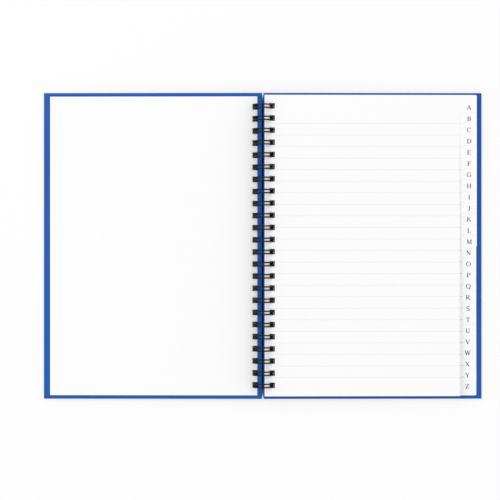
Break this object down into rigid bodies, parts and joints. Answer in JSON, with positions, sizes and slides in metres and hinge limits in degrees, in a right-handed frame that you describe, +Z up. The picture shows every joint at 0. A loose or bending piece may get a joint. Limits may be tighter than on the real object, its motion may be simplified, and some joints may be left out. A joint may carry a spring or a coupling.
{
  "type": "indexed notebook",
  "caption": "Hardcover A5 notebook with a step-cut alphabetical index, lying open on a black twin-wire binding.",
  "frame": {"origin": "on the table, in the middle of the open notebook, under the axis of the binding rings", "axes": "+X from the spine to the fore-edge of the right-hand half, +Y from tail to head along the spine, +Z up from the table"},
  "size_m": [0.3072, 0.2144, 0.015],
  "materials": {
    "black_wire": "black nylon-coated steel wire, satin",
    "blue_wrap": "printed blue paper with a matt film",
    "grey_board": "raw grey board",
    "white_paper": "white uncoated paper"
  },
  "bodies": {
    "back_cover": {"back_cover_wrap": "blue_wrap", "back_board": "grey_board", "back_endpaper": "white_paper"},
    "front_cover": {"front_cover_wrap": "blue_wrap", "front_board": "grey_board", "front_endpaper": "white_paper"},
    "wire": {"binding_wire": "black_wire"},
    "leaves_ab": {"index_leaves_ab": "white_paper"},
    "leaves_cd": {"index_leaves_cd": "white_paper"},
    "leaves_ef": {"index_leaves_ef": "white_paper"},
    "leaves_gh": {"index_leaves_gh": "white_paper"},
    "leaves_ij": {"index_leaves_ij": "white_paper"},
    "leaves_kl": {"index_leaves_kl": "white_paper"},
    "leaves_mn": {"index_leaves_mn": "white_paper"},
    "leaves_op": {"index_leaves_op": "white_paper"},
    "leaves_qr": {"index_leaves_qr": "white_paper"},
    "leaves_st": {"index_leaves_st": "white_paper"},
    "leaves_uv": {"index_leaves_uv": "white_paper"},
    "leaves_wx": {"index_leaves_wx": "white_paper"},
    "leaves_yz": {"index_leaves_yz": "white_paper"}
  },
  "joints": [
    {"name": "front_cover_turn", "type": "hinge", "parent": "back_cover", "child": "front_cover", "pos_m": [0, 0, 0.0075], "axis": [0, -1, 0], "range_deg": [-181.73, 0]},
    {"name": "wire_turn", "type": "hinge", "parent": "back_cover", "child": "wire", "pos_m": [0, 0, 0.0075], "axis": [0, -1, 0], "range_deg": [-15, 15]},
    {"name": "turn_leaves_yz", "type": "hinge", "parent": "back_cover", "child": "leaves_yz", "pos_m": [0, 0, 0.0075], "axis": [0, -1, 0], "range_deg": [0, 180]},
    {"name": "turn_leaves_wx", "type": "hinge", "parent": "leaves_yz", "child": "leaves_wx", "pos_m": [0, 0, 0.0075], "axis": [0, -1, 0], "range_deg": [0, 180]},
    {"name": "turn_leaves_uv", "type": "hinge", "parent": "leaves_wx", "child": "leaves_uv", "pos_m": [0, 0, 0.0075], "axis": [0, -1, 0], "range_deg": [0, 180]},
    {"name": "turn_leaves_st", "type": "hinge", "parent": "leaves_uv", "child": "leaves_st", "pos_m": [0, 0, 0.0075], "axis": [0, -1, 0], "range_deg": [0, 180]},
    {"name": "turn_leaves_qr", "type": "hinge", "parent": "leaves_st", "child": "leaves_qr", "pos_m": [0, 0, 0.0075], "axis": [0, -1, 0], "range_deg": [0, 180]},
    {"name": "turn_leaves_op", "type": "hinge", "parent": "leaves_qr", "child": "leaves_op", "pos_m": [0, 0, 0.0075], "axis": [0, -1, 0], "range_deg": [0, 180]},
    {"name": "turn_leaves_mn", "type": "hinge", "parent": "leaves_op", "child": "leaves_mn", "pos_m": [0, 0, 0.0075], "axis": [0, -1, 0], "range_deg": [0, 180]},
    {"name": "turn_leaves_kl", "type": "hinge", "parent": "leaves_mn", "child": "leaves_kl", "pos_m": [0, 0, 0.0075], "axis": [0, -1, 0], "range_deg": [0, 180]},
    {"name": "turn_leaves_ij", "type": "hinge", "parent": "leaves_kl", "child": "leaves_ij", "pos_m": [0, 0, 0.0075], "axis": [0, -1, 0], "range_deg": [0, 180]},
    {"name": "turn_leaves_gh", "type": "hinge", "parent": "leaves_ij", "child": "leaves_gh", "pos_m": [0, 0, 0.0075], "axis": [0, -1, 0], "range_deg": [0, 180]},
    {"name": "turn_leaves_ef", "type": "hinge", "parent": "leaves_gh", "child": "leaves_ef", "pos_m": [0, 0, 0.0075], "axis": [0, -1, 0], "range_deg": [0, 180]},
    {"name": "turn_leaves_cd", "type": "hinge", "parent": "leaves_ef", "child": "leaves_cd", "pos_m": [0, 0, 0.0075], "axis": [0, -1, 0], "range_deg": [0, 180]},
    {"name": "turn_leaves_ab", "type": "hinge", "parent": "leaves_cd", "child": "leaves_ab", "pos_m": [0, 0, 0.0075], "axis": [0, -1, 0], "range_deg": [0, 180]}
  ]
}
